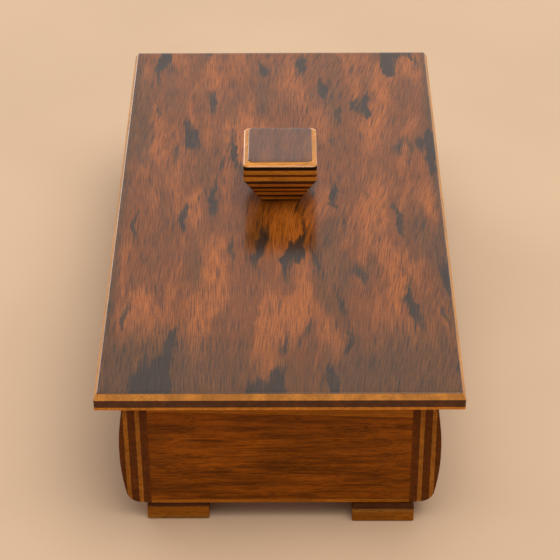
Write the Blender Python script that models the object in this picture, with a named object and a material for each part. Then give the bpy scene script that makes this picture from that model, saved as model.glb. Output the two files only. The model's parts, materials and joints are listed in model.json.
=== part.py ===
"""Laminated wooden puzzle box: lift-off lid, square knob and a hidden turn-button lock.

Metres. The origin is on the resting plane under the middle of the lid, +X points right,
+Y points back along the length and +Z points up. The lid is modelled closed and unlocked.
"""
import math

import bmesh
import bpy
from mathutils import Matrix, Vector

# ---- Overall sizes -------------------------------------------------------------------
LID_WIDTH = 0.100
LID_LENGTH = 0.185
WALL_HEIGHT = 0.0368

# ---- Gaps ----------------------------------------------------------------------------
GLUE_LINE = 0.00005         # between two pieces that are glued together
LID_SEAT_GAP = 0.0003       # between the walls' top edges and the lid
LINER_CLEARANCE = 0.0004    # between the lid's liner and the inside of the walls
SPINDLE_CLEARANCE = 0.00025  # round the spindle, in the lid
KNOB_GAP = 0.0003           # under the knob
BAR_CLEARANCE = 0.0004      # above the lock bar, and between the keepers and the liner
BAR_END_CLEARANCE = 0.0027  # from the bar's end to the wall
STOP_CLEARANCE = 0.0003     # from the bar's side to the stop peg
PIN_CLEARANCE = 0.0002      # round the tilt pin
PIN_BLOCK_GAP = 0.0006      # from the pin block to the locked bar

# ---- Side walls: ply thicknesses from the inside out ------------------------------------
WALL_PLIES = (("dark", 0.0021), ("light", 0.0013), ("dark", 0.0020), ("light", 0.0013),
              ("dark", 0.0015))
SIDE_OVERHANG = 0.00555     # from the lid's edge to the walls' widest line
SIDE_BULGE = 0.0021         # how far a wall's outer face falls back at its top and bottom
BOTTOM_ROUND = 0.0040       # radius of a wall's bottom outer edge

# ---- End panels and base ------------------------------------------------------------------
END_OVERHANG = 0.0039       # from the lid's edge to the end panels
FACE_THICKNESS = 0.0012
CORE_THICKNESS = 0.0048
LIPPING_HEIGHT_LEFT = 0.0036
LIPPING_HEIGHT_RIGHT = 0.0058
BASE_PLY_THICKNESS = 0.00115
BASE_PANEL_THICKNESS = 0.0030

# ---- Feet: ply thicknesses from the base down ----------------------------------------------
FOOT_SIZE = 0.0174
FOOT_OUTER_EDGE = 0.00685   # from the walls' widest line in to a foot's outer side
FOOT_BEVEL = 0.0006
DARK_FOOT_PLY = ("dark", 0.0014)
BRIGHT_FOOT_PLY = ("bright", 0.0013)
HONEY_FOOT_PLY = ("honey", 0.0033)
RIGHT_FOOT_STEP = 0.0012    # the front right foot stands this far in front of its panel

# ---- Lid --------------------------------------------------------------------------------
LID_CHAMFER = 0.0009        # how far the veneer stands in from the lid's edge
LID_VENEER_THICKNESS = 0.0003
LID_LIGHT_PLY = 0.0016
LID_DARK_PLY = 0.0023
LID_BASE_PLY = 0.00095
LINER_THICKNESS = 0.0030
LINER_CORNER = 0.0015
LID_CORNER = 0.0004

# ---- Knob: a few gauges of ply, stacked from the neck up ----------------------------------------
NECK_PLY = 0.0003           # what is left of the lowest ply under the taper
THICK_PLY = 0.0014
THIN_PLY = 0.0010
RED_PLY = 0.0008
CAP_PLY = 0.0012
KNOB_PLIES = (("dark", NECK_PLY), ("light", THICK_PLY), ("dark", THIN_PLY),
              ("light", THICK_PLY), ("red", RED_PLY), ("light", THIN_PLY),
              ("dark", THIN_PLY), ("light", THICK_PLY), ("dark", THICK_PLY),
              ("light", THICK_PLY), ("red", RED_PLY), ("light", THICK_PLY),
              ("black", CAP_PLY))
KNOB_TOP_PLY = 0.0009
KNOB_VENEER = 0.00025
KNOB_BACK_OFFSET = 0.0063   # the knob stands this far behind the lid's middle
KNOB_HALF_WIDTH = 0.0110
NECK_HALF_WIDTH = 0.0060
TAPER_SLOPE = 0.5           # half width gained for each unit of height above the neck
KNOB_CHAMFER = 0.0014
KNOB_CORNER = 0.0006
KNOB_TOP_CORNER = 0.0014
SOCKET_DEPTH = 0.0080       # how far the spindle goes up into the knob

# ---- Lock: spindle, bar, boss, stop peg, keepers ----------------------------------------------
SPINDLE_RADIUS = 0.0030
BAR_WIDTH = 0.0120
BAR_THICKNESS = 0.0040
BAR_PEG_RADIUS = 0.0010
BOSS_SIZE = 0.0240
BOSS_THICKNESS = 0.0044
STOP_PEG_RADIUS = 0.0015
STOP_PEG_SINK = 0.0030      # how far the stop peg goes up into the boss
KEEPER_DEPTH = 0.0078
KEEPER_END_GAP = 0.0003     # from a keeper's end to the pin block that passes it

# ---- Tilt pin -------------------------------------------------------------------------------
PIN_RADIUS = 0.0020
PIN_LENGTH = 0.0190
PIN_TRAVEL = 0.0060
PIN_BLOCK_WIDTH = 0.0120
PIN_BLOCK_END = 0.0030      # wood left behind the pin's bore
PIN_BLOCK_FLOOR = 0.0022    # wood left under the pin's bore
NOTCH_CLEARANCE = 0.0004

# ---- Fineness of the model -------------------------------------------------------------------
ARC_STEPS = 12              # faces on each arc of a wall's outline
CORNER_STEPS = 3            # faces round an eased upright edge
ROD_SIDES = 32
PEG_SIDES = 24
BAR_PEG_SIDES = 16
SMOOTH_BELOW = math.radians(40)  # edges flatter than this are shaded smooth
MERGE_DISTANCE = 1e-7
LEVEL_TOLERANCE = 1e-6      # two points closer in height than this are level
DRILL_MARGIN = 0.001        # how far a drilled hole's cutter sticks out of the piece

# ---- Levels and planes that follow from the sizes above --------------------------------------
FOOT_PLIES_LEFT = (DARK_FOOT_PLY, HONEY_FOOT_PLY, BRIGHT_FOOT_PLY)
FOOT_PLIES_RIGHT = (DARK_FOOT_PLY, BRIGHT_FOOT_PLY, HONEY_FOOT_PLY)
FOOT_HEIGHT = sum(thickness + GLUE_LINE for _, thickness in FOOT_PLIES_LEFT)
WALL_BOTTOM = FOOT_HEIGHT
WALL_TOP = WALL_BOTTOM + WALL_HEIGHT
HALF_BODY = LID_WIDTH / 2 - SIDE_OVERHANG
HALF_BODY_LENGTH = LID_LENGTH / 2 - END_OVERHANG
WALL_THICKNESS = sum(thickness for _, thickness in WALL_PLIES)
INNER_HALF_WIDTH = HALF_BODY - WALL_THICKNESS
PANEL_THICKNESS = FACE_THICKNESS + GLUE_LINE + CORE_THICKNESS
INNER_HALF_LENGTH = HALF_BODY_LENGTH - PANEL_THICKNESS
PANEL_BOTTOM = WALL_BOTTOM + BASE_PLY_THICKNESS + GLUE_LINE

LID_UNDERSIDE = WALL_TOP + LID_SEAT_GAP
DARK_PLY_BOTTOM = LID_UNDERSIDE + LID_BASE_PLY + GLUE_LINE
LIGHT_PLY_BOTTOM = DARK_PLY_BOTTOM + LID_DARK_PLY + GLUE_LINE
VENEER_BOTTOM = LIGHT_PLY_BOTTOM + LID_LIGHT_PLY + GLUE_LINE
LID_TOP = VENEER_BOTTOM + LID_VENEER_THICKNESS

LINER_TOP = LID_UNDERSIDE - GLUE_LINE
LINER_BOTTOM = LINER_TOP - LINER_THICKNESS
BOSS_TOP = LINER_BOTTOM - GLUE_LINE
BOSS_BOTTOM = BOSS_TOP - BOSS_THICKNESS
BAR_TOP = BOSS_BOTTOM - BAR_CLEARANCE
BAR_BOTTOM = BAR_TOP - BAR_THICKNESS
BAR_MIDDLE = (BAR_TOP + BAR_BOTTOM) / 2
BAR_HALF_LENGTH = INNER_HALF_WIDTH - BAR_END_CLEARANCE
SPINDLE_HOLE_RADIUS = SPINDLE_RADIUS + SPINDLE_CLEARANCE
KNOB_BOTTOM = LID_TOP + KNOB_GAP
KNOB_AXIS = Vector((0.0, KNOB_BACK_OFFSET, 0.0))

PIN_BLOCK_FACE = KNOB_BACK_OFFSET - BAR_WIDTH / 2 - PIN_BLOCK_GAP
PIN_SIDE_OFFSET = BOSS_SIZE / 2 + GLUE_LINE + PIN_BLOCK_WIDTH / 2
KEEPER_HALF_LENGTH = BAR_WIDTH / 2 + PIN_BLOCK_GAP - KEEPER_END_GAP
PIN_TIP = PIN_BLOCK_FACE - GLUE_LINE
PIN_BORE_RADIUS = PIN_RADIUS + PIN_CLEARANCE

WOODS = {
    "dark": ((0.085, 0.022, 0.008), 0.38),
    "light": ((0.47, 0.19, 0.045), 0.38),
    "red": ((0.16, 0.030, 0.008), 0.38),
    "black": ((0.020, 0.009, 0.005), 0.35),
    "bright": ((0.56, 0.27, 0.07), 0.38),
    "honey": ((0.33, 0.115, 0.018), 0.40),
    "panel": ((0.145, 0.045, 0.010), 0.36),
    "burl": ((0.21, 0.060, 0.024), 0.28),
    "plain": ((0.40, 0.22, 0.10), 0.55),
    "steel": ((0.62, 0.62, 0.64), 0.35),
}


def clear_scene():
    """Remove every object that the file already holds."""
    for thing in list(bpy.data.objects):
        bpy.data.objects.remove(thing, do_unlink=True)


def make_collection(name):
    """Return a new collection linked to the scene."""
    collection = bpy.data.collections.new(name)
    bpy.context.scene.collection.children.link(collection)
    return collection


def finish_piece(piece, name, wood):
    """Name a piece, file it in the parts collection and give it its own material."""
    colour, roughness = WOODS[wood]
    material = bpy.data.materials.new(name + "_finish")
    material.use_nodes = True
    shader = material.node_tree.nodes["Principled BSDF"]
    shader.inputs["Base Color"].default_value = (*colour, 1.0)
    shader.inputs["Roughness"].default_value = roughness
    shader.inputs["Metallic"].default_value = 1.0 if wood == "steel" else 0.0
    piece.name = name
    piece.data.name = name
    piece.data.materials.clear()
    piece.data.materials.append(material)
    for collection in list(piece.users_collection):
        collection.objects.unlink(piece)
    PARTS.objects.link(piece)
    return piece


def mesh_object(name, shape):
    """Turn a bmesh into an object and free it."""
    bmesh.ops.recalc_face_normals(shape, faces=shape.faces)
    mesh = bpy.data.meshes.new(name)
    shape.to_mesh(mesh)
    shape.free()
    piece = bpy.data.objects.new(name, mesh)
    bpy.context.scene.collection.objects.link(piece)
    return piece


def block(name, wood, low, high, corner=0.0):
    """Box between two corners, with its four upright edges rounded by corner."""
    shape = bmesh.new()
    size = Vector(high) - Vector(low)
    middle = (Vector(high) + Vector(low)) / 2
    bmesh.ops.create_cube(shape, size=1.0, matrix=Matrix.Diagonal((*size, 1.0)))
    if corner:
        round_upright_edges(shape, corner)
    piece = mesh_object(name, shape)
    piece.location = middle
    return finish_piece(piece, name, wood)


def round_upright_edges(shape, radius):
    """Bevel the four side edges of a box or frustum that join its bottom to its top."""
    upright = [edge for edge in shape.edges
               if abs(edge.verts[0].co.z - edge.verts[1].co.z) > LEVEL_TOLERANCE]
    bmesh.ops.bevel(shape, geom=upright, offset=radius, segments=CORNER_STEPS, profile=0.5,
                    affect="EDGES")


def frustum(name, wood, low_half, high_half, bottom, top, centre=(0.0, 0.0), corner=0.0):
    """Rectangular slab whose half width and half length change from bottom to top."""
    shape = bmesh.new()
    bmesh.ops.create_cube(shape, size=2.0)
    for vertex in shape.verts:
        half = high_half if vertex.co.z > 0 else low_half
        vertex.co.x *= half[0]
        vertex.co.y *= half[1]
        vertex.co.z *= (top - bottom) / 2
    if corner:
        round_upright_edges(shape, corner)
    piece = mesh_object(name, shape)
    piece.location = (centre[0], centre[1], (bottom + top) / 2)
    return finish_piece(piece, name, wood)


def round_bar(name, radius, start, end, sides):
    """Unfinished round bar between two points, for a rod or for cutting a hole."""
    start, end = Vector(start), Vector(end)
    shape = bmesh.new()
    bmesh.ops.create_cone(shape, cap_ends=True, segments=sides, radius1=radius,
                          radius2=radius, depth=(end - start).length)
    bar = mesh_object(name, shape)
    bar.rotation_euler = (end - start).to_track_quat("Z", "Y").to_euler()
    bar.location = (start + end) / 2
    return bar


def rod(name, wood, radius, start, end, sides=ROD_SIDES):
    """Round rod between two points."""
    piece = round_bar(name, radius, start, end, sides)
    piece.data.shade_smooth()
    piece.data.set_sharp_from_angle(angle=SMOOTH_BELOW)
    return finish_piece(piece, name, wood)


def extruded(name, wood, outline, start, end):
    """Solid of one XZ outline that runs along Y from start to end."""
    curve = bpy.data.curves.new(name, "CURVE")
    curve.dimensions = "2D"
    curve.fill_mode = "BOTH"
    curve.extrude = (end - start) / 2
    spline = curve.splines.new("POLY")
    spline.points.add(len(outline) - 1)
    for point, (x, z) in zip(spline.points, outline):
        point.co = (x, z, 0.0, 1.0)
    spline.use_cyclic_u = True
    guide = bpy.data.objects.new(name + "_curve", curve)
    bpy.context.scene.collection.objects.link(guide)
    guide.rotation_euler = (math.radians(90), 0.0, 0.0)
    guide.location.y = (start + end) / 2
    bpy.context.view_layer.update()
    mesh = bpy.data.meshes.new_from_object(
        guide.evaluated_get(bpy.context.evaluated_depsgraph_get()))
    piece = bpy.data.objects.new(name, mesh)
    piece.matrix_world = guide.matrix_world
    bpy.data.objects.remove(guide, do_unlink=True)
    bpy.context.scene.collection.objects.link(piece)
    shape = bmesh.new()
    shape.from_mesh(mesh)
    bmesh.ops.remove_doubles(shape, verts=shape.verts, dist=MERGE_DISTANCE)
    bmesh.ops.recalc_face_normals(shape, faces=shape.faces)
    shape.to_mesh(mesh)
    shape.free()
    return finish_piece(piece, name, wood)


def cut(piece, cutter):
    """Subtract a cutter from a piece with a live Boolean."""
    for collection in list(cutter.users_collection):
        collection.objects.unlink(cutter)
    CUTTERS.objects.link(cutter)
    cutter.display_type = "WIRE"
    cutter.hide_render = True
    boolean = piece.modifiers.new("cut_" + cutter.name, "BOOLEAN")
    boolean.operation = "DIFFERENCE"
    boolean.solver = "EXACT"
    boolean.object = cutter


# ---- Box: walls, panels, base, keepers and feet ------------------------------------------------

def wall_outline():
    """Section of the whole right wall, as (x, z) points, anticlockwise from the inside.

    The outer face is one shallow arc whose middle is the widest line. A round of
    BOTTOM_ROUND joins it to the flat underside.
    """
    half_height = WALL_HEIGHT / 2
    middle = WALL_BOTTOM + half_height
    radius = (half_height ** 2 + SIDE_BULGE ** 2) / (2 * SIDE_BULGE)
    arc_centre = HALF_BODY - radius
    reach = radius - BOTTOM_ROUND
    round_z = WALL_BOTTOM + BOTTOM_ROUND
    tilt = math.asin((round_z - middle) / reach)
    round_x = arc_centre + reach * math.cos(tilt)
    top_tilt = math.asin(half_height / radius)
    points = [(INNER_HALF_WIDTH, WALL_TOP), (INNER_HALF_WIDTH, WALL_BOTTOM)]
    for step in range(ARC_STEPS + 1):
        angle = -math.pi / 2 + (tilt + math.pi / 2) * step / ARC_STEPS
        points.append((round_x + BOTTOM_ROUND * math.cos(angle),
                       round_z + BOTTOM_ROUND * math.sin(angle)))
    for step in range(1, ARC_STEPS + 1):
        angle = tilt + (top_tilt - tilt) * step / ARC_STEPS
        points.append((arc_centre + radius * math.cos(angle),
                       middle + radius * math.sin(angle)))
    return points


def keep_side(points, limit, sign):
    """Part of a convex outline on one side of the upright line x = limit."""
    kept = []
    for here, after in zip(points, points[1:] + points[:1]):
        inside = sign * (here[0] - limit) >= 0
        inside_after = sign * (after[0] - limit) >= 0
        if inside:
            kept.append(here)
        if inside != inside_after:
            share = (limit - here[0]) / (after[0] - here[0])
            kept.append((limit, here[1] + share * (after[1] - here[1])))
    return kept


def build_walls():
    """Five upright plies on each side, all cut by the same rounded outer face."""
    outline = wall_outline()
    inner = INNER_HALF_WIDTH
    for number, (wood, thickness) in enumerate(WALL_PLIES, start=1):
        outer = inner + thickness
        last = number == len(WALL_PLIES)
        ply = keep_side(outline, inner, 1)
        if not last:
            ply = keep_side(ply, outer - GLUE_LINE, -1)
        extruded(f"right_wall_ply_{number}", wood, ply, -HALF_BODY_LENGTH, HALF_BODY_LENGTH)
        mirrored = [(-x, z) for x, z in reversed(ply)]
        extruded(f"left_wall_ply_{number}", wood, mirrored, -HALF_BODY_LENGTH,
                 HALF_BODY_LENGTH)
        inner = outer


def build_end_panel(side, facing):
    """Face ply, lipping and core of one end panel; facing is -1 in front and +1 behind."""
    half = INNER_HALF_WIDTH - GLUE_LINE
    outer = facing * HALF_BODY_LENGTH
    inner = facing * (HALF_BODY_LENGTH - FACE_THICKNESS)
    start, end = min(outer, inner), max(outer, inner)
    left = WALL_TOP - LIPPING_HEIGHT_LEFT
    right = WALL_TOP - LIPPING_HEIGHT_RIGHT
    face = [(-half, PANEL_BOTTOM), (half, PANEL_BOTTOM), (half, right), (-half, left)]
    lipping = [(-half, left + GLUE_LINE), (half, right + GLUE_LINE), (half, WALL_TOP),
               (-half, WALL_TOP)]
    extruded(f"{side}_panel_face", "panel", face, start, end)
    extruded(f"{side}_panel_lipping", "honey", lipping, start, end)
    core_outer = facing * (HALF_BODY_LENGTH - FACE_THICKNESS - GLUE_LINE)
    core_inner = facing * INNER_HALF_LENGTH
    block(f"{side}_panel_core", "plain", (-half, min(core_outer, core_inner), PANEL_BOTTOM),
          (half, max(core_outer, core_inner), WALL_TOP))


def build_base():
    """Thin light ply seen along both ends, and the thicker floor panel on it."""
    half = INNER_HALF_WIDTH - GLUE_LINE
    block("base_ply", "honey", (-half, -HALF_BODY_LENGTH, WALL_BOTTOM),
          (half, HALF_BODY_LENGTH, WALL_BOTTOM + BASE_PLY_THICKNESS))
    length = INNER_HALF_LENGTH - GLUE_LINE
    block("base_panel", "plain", (-half, -length, PANEL_BOTTOM),
          (half, length, PANEL_BOTTOM + BASE_PANEL_THICKNESS))


def build_keepers():
    """Blocks on the side walls that the bar's ends swing under."""
    top = LINER_BOTTOM - BAR_CLEARANCE
    bottom = BAR_TOP + BAR_CLEARANCE
    wall = INNER_HALF_WIDTH - GLUE_LINE
    for side, sign in (("left", -1), ("right", 1)):
        edges = sorted((sign * wall, sign * (wall - KEEPER_DEPTH)))
        block(f"{side}_keeper", "dark",
              (edges[0], KNOB_BACK_OFFSET - KEEPER_HALF_LENGTH, bottom),
              (edges[1], KNOB_BACK_OFFSET + KEEPER_HALF_LENGTH, top))


def build_feet():
    """Four laminated blocks under the corners of the body."""
    outer = HALF_BODY - FOOT_OUTER_EDGE
    for end, facing in (("front", -1), ("back", 1)):
        for side, sign in (("left", -1), ("right", 1)):
            step = RIGHT_FOOT_STEP if (end, side) == ("front", "right") else 0.0
            x = sign * (outer - FOOT_SIZE / 2)
            y = facing * (HALF_BODY_LENGTH - FOOT_SIZE / 2 + step)
            plies = FOOT_PLIES_LEFT if side == "left" else FOOT_PLIES_RIGHT
            top = WALL_BOTTOM - GLUE_LINE
            for number, (wood, thickness) in enumerate(plies, start=1):
                half = FOOT_SIZE / 2
                upper = half - FOOT_BEVEL if number == 1 else half
                bottom = top - thickness
                frustum(f"{end}_{side}_foot_ply_{number}", wood, (half, half),
                        (upper, upper), bottom, top, centre=(x, y))
                top = bottom - GLUE_LINE


# ---- Lid ---------------------------------------------------------------------------------------

def spindle_hole(piece, bottom, top):
    """Drill the spindle's hole through a piece of the lid."""
    cut(piece, round_bar(piece.name + "_hole", SPINDLE_HOLE_RADIUS,
                         KNOB_AXIS + Vector((0, 0, bottom - DRILL_MARGIN)),
                         KNOB_AXIS + Vector((0, 0, top + DRILL_MARGIN)), ROD_SIDES))


def build_lid():
    """Veneer, chamfered light ply, dark ply, base ply and the liner that centres the lid."""
    half = (LID_WIDTH / 2, LID_LENGTH / 2)
    inset = (half[0] - LID_CHAMFER, half[1] - LID_CHAMFER)
    layers = (("lid_base_ply", "light", half, half, LID_UNDERSIDE, LID_BASE_PLY),
              ("lid_dark_ply", "dark", half, half, DARK_PLY_BOTTOM, LID_DARK_PLY),
              ("lid_chamfer_ply", "bright", half, inset, LIGHT_PLY_BOTTOM, LID_LIGHT_PLY),
              ("lid_veneer", "burl", inset, inset, VENEER_BOTTOM, LID_VENEER_THICKNESS))
    for name, wood, low, high, bottom, thickness in layers:
        top = bottom + thickness
        ply = frustum(name, wood, low, high, bottom, top, corner=LID_CORNER)
        spindle_hole(ply, bottom, top)
    inside = (INNER_HALF_WIDTH - LINER_CLEARANCE, INNER_HALF_LENGTH - LINER_CLEARANCE)
    liner = frustum("lid_liner", "plain", inside, inside, LINER_BOTTOM, LINER_TOP,
                    corner=LINER_CORNER)
    spindle_hole(liner, LINER_BOTTOM, LINER_TOP)


def build_boss():
    """Boss that carries the spindle, with the peg that stops the bar at both ends."""
    half = BOSS_SIZE / 2
    y = KNOB_BACK_OFFSET
    boss = block("spindle_boss", "plain", (-half, y - half, BOSS_BOTTOM),
                 (half, y + half, BOSS_TOP), corner=LINER_CORNER)
    spindle_hole(boss, BOSS_BOTTOM, BOSS_TOP)
    reach = BAR_WIDTH / 2 + STOP_CLEARANCE + STOP_PEG_RADIUS
    top = BOSS_BOTTOM + STOP_PEG_SINK
    foot = Vector((-reach, y - reach, BAR_BOTTOM))
    head = Vector((-reach, y - reach, top))
    rod("stop_peg", "light", STOP_PEG_RADIUS, foot, head, sides=PEG_SIDES)
    rise = Vector((0, 0, GLUE_LINE))
    cut(boss, round_bar("stop_peg_hole", STOP_PEG_RADIUS + GLUE_LINE, foot, head + rise,
                        PEG_SIDES))


def build_pin_block():
    """Block under the liner whose blind bore guides the tilt pin."""
    left = -PIN_SIDE_OFFSET - PIN_BLOCK_WIDTH / 2
    length = PIN_LENGTH + PIN_CLEARANCE + PIN_BLOCK_END
    back = PIN_BLOCK_FACE
    bottom = BAR_MIDDLE - PIN_BORE_RADIUS - PIN_BLOCK_FLOOR
    piece = block("pin_block", "plain", (left, back - length, bottom),
                  (left + PIN_BLOCK_WIDTH, back, BOSS_TOP))
    start = Vector((-PIN_SIDE_OFFSET, back - length + PIN_BLOCK_END, BAR_MIDDLE))
    end = Vector((-PIN_SIDE_OFFSET, back + PIN_BLOCK_END, BAR_MIDDLE))
    cut(piece, round_bar("pin_bore", PIN_BORE_RADIUS, start, end, ROD_SIDES))


def build_tilt_pin():
    """Loose steel pin that rolls back into the locked bar's notch when the box is tipped."""
    tip = Vector((-PIN_SIDE_OFFSET, PIN_TIP, BAR_MIDDLE))
    rod("tilt_pin", "steel", PIN_RADIUS, tip - Vector((0, PIN_LENGTH, 0)), tip)


# ---- Knob and what turns with it ----------------------------------------------------------------

def knob_half_width(height):
    """Half width of the knob at a height above its neck."""
    return min(NECK_HALF_WIDTH + TAPER_SLOPE * height, KNOB_HALF_WIDTH)


def build_knob():
    """Thin plies glued into a square knob that tapers down to its neck."""
    centre = (KNOB_AXIS.x, KNOB_AXIS.y)
    level = KNOB_BOTTOM
    socket_top = KNOB_BOTTOM + SOCKET_DEPTH
    for number, (wood, thickness) in enumerate(KNOB_PLIES, start=1):
        top = level + thickness
        low = knob_half_width(level - KNOB_BOTTOM)
        high = knob_half_width(top - KNOB_BOTTOM)
        ply = frustum(f"knob_ply_{number:02d}", wood, (low, low), (high, high), level, top,
                      centre=centre, corner=KNOB_CORNER)
        if level < socket_top:
            cut(ply, round_bar(ply.name + "_socket", SPINDLE_RADIUS + GLUE_LINE,
                               KNOB_AXIS + Vector((0, 0, KNOB_BOTTOM - DRILL_MARGIN)),
                               KNOB_AXIS + Vector((0, 0, socket_top + GLUE_LINE)),
                               ROD_SIDES))
        level = top + GLUE_LINE
    top = level + KNOB_TOP_PLY
    face = KNOB_HALF_WIDTH - KNOB_CHAMFER
    frustum("knob_top_ply", "bright", (KNOB_HALF_WIDTH, KNOB_HALF_WIDTH), (face, face), level,
            top, centre=centre, corner=KNOB_TOP_CORNER)
    frustum("knob_veneer", "burl", (face, face), (face, face), top + GLUE_LINE,
            top + GLUE_LINE + KNOB_VENEER, centre=centre, corner=KNOB_TOP_CORNER)


def build_spindle_and_bar():
    """Spindle, the lock bar on its lower end and the peg that pins them together."""
    low = KNOB_AXIS + Vector((0, 0, BAR_BOTTOM))
    high = KNOB_AXIS + Vector((0, 0, KNOB_BOTTOM + SOCKET_DEPTH))
    spindle = rod("spindle", "light", SPINDLE_RADIUS, low, high)
    half = BAR_WIDTH / 2
    bar = block("lock_bar", "dark", (-half, KNOB_BACK_OFFSET - BAR_HALF_LENGTH, BAR_BOTTOM),
                (half, KNOB_BACK_OFFSET + BAR_HALF_LENGTH, BAR_TOP), corner=LINER_CORNER)
    margin = Vector((0, 0, BAR_THICKNESS))
    cut(bar, round_bar("bar_bore", SPINDLE_RADIUS + GLUE_LINE, low - margin,
                       low + 2 * margin, ROD_SIDES))
    notch_half = PIN_RADIUS + NOTCH_CLEARANCE
    notch_depth = PIN_TRAVEL - PIN_BLOCK_GAP + NOTCH_CLEARANCE
    shape = bmesh.new()
    bmesh.ops.create_cube(shape, size=1.0, matrix=Matrix.Diagonal(
        (2 * notch_depth, 2 * notch_half, 3 * BAR_THICKNESS, 1.0)))
    notch = mesh_object("bar_notch", shape)
    notch.location = (-half, KNOB_BACK_OFFSET + PIN_SIDE_OFFSET, BAR_MIDDLE)
    cut(bar, notch)
    side = Vector((half - GLUE_LINE, 0, 0))
    middle = KNOB_AXIS + Vector((0, 0, BAR_MIDDLE))
    rod("bar_peg", "light", BAR_PEG_RADIUS, middle - side, middle + side,
        sides=BAR_PEG_SIDES)
    hole = round_bar("bar_peg_hole", BAR_PEG_RADIUS + GLUE_LINE, middle - 2 * side,
                     middle + 2 * side, BAR_PEG_SIDES)
    cut(bar, hole)
    cut(spindle, hole)


clear_scene()
PARTS = make_collection("wooden_puzzle_box")
CUTTERS = make_collection("cutters")
build_walls()
build_end_panel("front", -1)
build_end_panel("back", 1)
build_base()
build_keepers()
build_feet()
build_lid()
build_boss()
build_pin_block()
build_tilt_pin()
build_knob()
build_spindle_and_bar()
bpy.context.view_layer.update()
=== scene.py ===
"""Finishes of the laminated wooden puzzle box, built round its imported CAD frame.

Metres throughout, in the frame's own axes. Patterns are worked out in millimetres.
"""

import json
import math

import bmesh
import bpy
from mathutils import Matrix, Vector

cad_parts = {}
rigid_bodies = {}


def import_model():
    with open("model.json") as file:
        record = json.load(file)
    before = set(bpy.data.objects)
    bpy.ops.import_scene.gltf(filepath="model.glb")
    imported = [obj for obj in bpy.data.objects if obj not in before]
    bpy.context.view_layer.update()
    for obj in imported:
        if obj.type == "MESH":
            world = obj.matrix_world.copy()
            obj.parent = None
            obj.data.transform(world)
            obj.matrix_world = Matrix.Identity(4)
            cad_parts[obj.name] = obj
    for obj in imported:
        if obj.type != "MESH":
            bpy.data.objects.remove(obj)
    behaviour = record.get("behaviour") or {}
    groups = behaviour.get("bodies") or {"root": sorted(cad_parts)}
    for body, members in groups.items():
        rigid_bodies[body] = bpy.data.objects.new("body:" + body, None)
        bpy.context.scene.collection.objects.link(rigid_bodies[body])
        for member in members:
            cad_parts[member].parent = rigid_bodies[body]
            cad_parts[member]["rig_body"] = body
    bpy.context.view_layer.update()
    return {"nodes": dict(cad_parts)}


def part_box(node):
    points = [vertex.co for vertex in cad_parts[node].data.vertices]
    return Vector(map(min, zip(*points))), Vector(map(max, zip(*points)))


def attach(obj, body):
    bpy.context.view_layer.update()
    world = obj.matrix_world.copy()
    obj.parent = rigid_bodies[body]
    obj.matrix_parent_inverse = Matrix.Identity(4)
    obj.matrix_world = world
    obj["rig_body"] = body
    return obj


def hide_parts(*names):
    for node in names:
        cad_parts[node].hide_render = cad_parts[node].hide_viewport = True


bl_info = {
    "name": "Wooden Puzzle Box",
    "version": (1, 0, 0),
    "blender": (4, 5, 0),
    "location": "View3D > Sidebar > Puzzle Box",
    "description": "Makes the plies, veneers, lock and stage of a laminated puzzle box",
    "category": "Add Mesh",
}

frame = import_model()
TO_MM = 1000.0

# ---- Fixed sizes ----------------------------------------------------------------------------
GLUE_LINE = 0.00005         # round the spindle, in the knob
SPINDLE_CLEARANCE = 0.00025  # round the spindle, in the lid
NECK_WIDTH = 0.012
LINER_CORNER = 0.0015
PIN_ARRIS = 0.0004
CREASE = math.radians(25)   # edges sharper than this are sanded
FLOOR_HALF = 2.5
FLOOR_DROP = 0.0001         # the floor lies this far under the feet

# Softboxes: name, place, size, colour and the stage setting of their brightness.
LAMP_AIM = (0.0, 0.0, 0.03)
SOFTBOXES = (
    ("back_softbox", (0.0, 1.1, 0.85), (1.8, 1.1), (1.0, 0.96, 0.93), "back_light"),
    ("side_softbox", (-0.95, 1.15, 0.25), (0.8, 0.5), (1.0, 0.95, 0.95), "side_light"),
    ("low_softbox", (0.0, 1.25, 0.22), (2.6, 0.45), (1.0, 0.95, 0.90), "low_light"),
    ("key_softbox", (0.20, -0.20, 1.1), (1.0, 1.0), (1.0, 0.95, 0.88), "key_light"),
)


# ---- Sizes and colours a user may change ---------------------------------------------------

def length(name, description, default):
    """Length property in metres."""
    return bpy.props.FloatProperty(name=name, description=description, default=default,
                                   min=0.0, subtype="DISTANCE", unit="LENGTH", precision=5)


def colour(name, description, default):
    """Colour property."""
    return bpy.props.FloatVectorProperty(name=name, description=description,
                                         default=default, size=3, min=0.0, max=1.0,
                                         subtype="COLOR")


def share(name, description, default, high=1.0):
    """Number from 0 to high."""
    return bpy.props.FloatProperty(name=name, description=description, default=default,
                                   min=0.0, max=high, subtype="FACTOR")


class PuzzleBoxSanding(bpy.types.PropertyGroup):
    """How far the maker rounded each edge with sandpaper."""
    veneer_arris: length("Veneer edge", "Rounding of the top veneers' edges", 0.00018)
    lid_arris: length("Lid edge", "Rounding of the lid's lower edge", 0.00015)
    roll_width: length("Roll-off width", "How far in from its edge a veneer is sanded lower",
                       0.0014)
    roll_share: share("Roll-off share", "Part of a veneer's thickness lost at its edge", 0.45)
    lid_corner: length("Lid corner", "Radius of the lid's upright corners", 0.0005)
    knob_corner: length("Knob corner", "Radius of the knob's upright edges", 0.0006)
    knob_cap_corner: length("Knob cap corner", "Radius of the knob cap's corners", 0.0014)
    wall_arris: length("Wall edge", "Rounding of the side walls' outer edges", 0.0004)
    foot_arris: length("Foot edge", "Rounding of the feet's lower edges", 0.0003)
    foot_corner: length("Foot corner", "Radius of the feet's upright edges", 0.0004)
    foot_shoulder: length("Foot shoulder", "Chamfer round the top of each foot", 0.0006)
    panel_arris: length("Panel edge", "Rounding of the panels' edges", 0.00012)
    inner_arris: length("Inner edge", "Rounding of the parts inside the box", 0.0002)


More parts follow.
